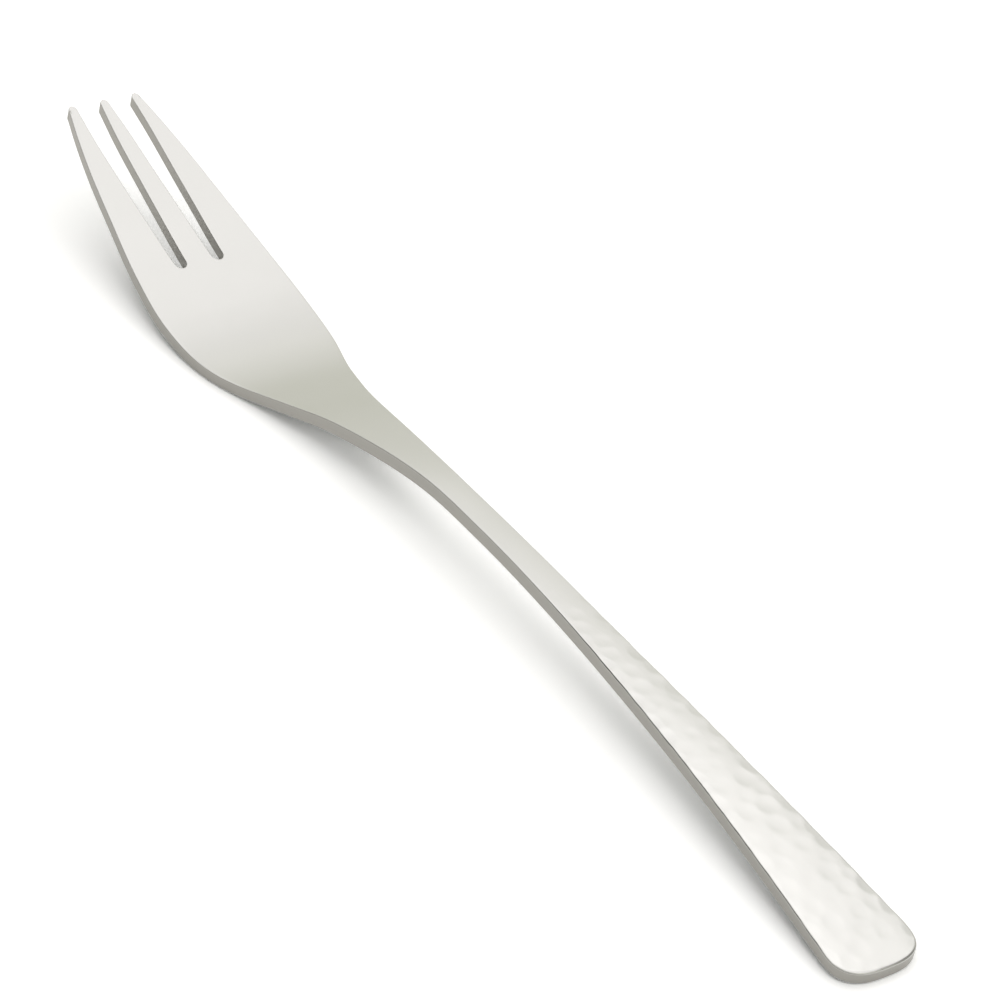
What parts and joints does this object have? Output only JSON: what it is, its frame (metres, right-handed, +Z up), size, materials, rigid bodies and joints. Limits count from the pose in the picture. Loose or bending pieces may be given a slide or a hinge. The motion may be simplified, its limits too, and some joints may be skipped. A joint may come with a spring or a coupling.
{
  "type": "fork",
  "caption": "Slim stainless steel fork with tapered tines, a shouldered head, a narrow arched neck and a flat hammered handle that widens to its rounded end.",
  "frame": {"origin": "centre of the bounding box's bottom face, on the table that the fork rests on, halfway between the handle's end and the tips", "axes": "+X along the fork from the handle's end to the tips, +Y to the fork's left as seen from above with the tips ahead, +Z up from the table to the upper, hollow side of the tines"},
  "size_m": [0.19, 0.0242, 0.0151],
  "materials": {
    "stainless_steel": "satin, with overlapping shallow hammer marks on the handle"
  },
  "bodies": {
    "root": {"handle": "stainless_steel", "neck": "stainless_steel", "head": "stainless_steel", "tine_left": "stainless_steel", "tine_middle": "stainless_steel", "tine_right": "stainless_steel"}
  },
  "joints": []
}
